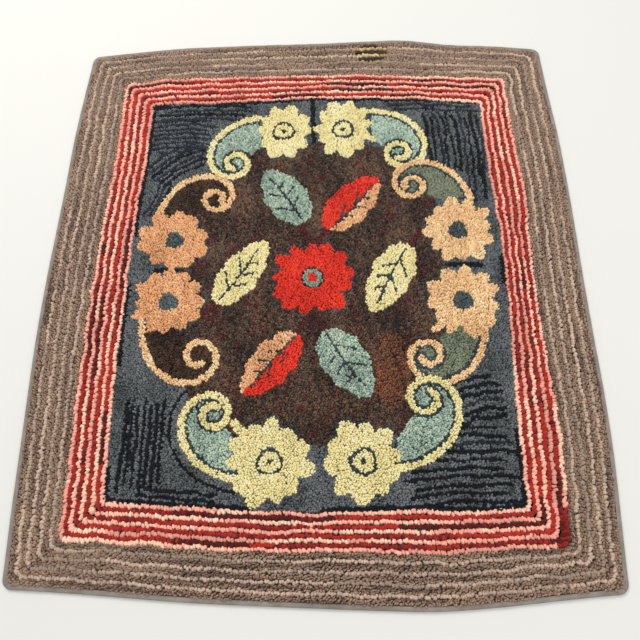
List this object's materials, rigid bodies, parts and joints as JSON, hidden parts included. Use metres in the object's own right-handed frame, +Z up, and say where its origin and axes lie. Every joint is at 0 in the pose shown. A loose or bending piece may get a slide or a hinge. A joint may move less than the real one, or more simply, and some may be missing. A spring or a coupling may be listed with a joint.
{
  "type": "hooked rug",
  "caption": "Rectangular hooked wool rug with a flower and scroll field, a red and pink band, a brown border and a folded binding tape, lying flat",
  "frame": {"origin": "middle of the rug's outline, on the surface that it lies on", "axes": "+Z up out of the pile, +Y along the longer side away from the viewer, +X to the viewer's right"},
  "size_m": [0.9344, 1.0628, 0.0083],
  "materials": {
    "wool_pile": "matte hooked wool loops",
    "binding_tape": "matte cotton twill tape"
  },
  "bodies": {
    "root": {"rug_body": "wool_pile", "binding_near": "binding_tape", "binding_right": "binding_tape", "binding_far": "binding_tape", "binding_left": "binding_tape"}
  },
  "joints": []
}
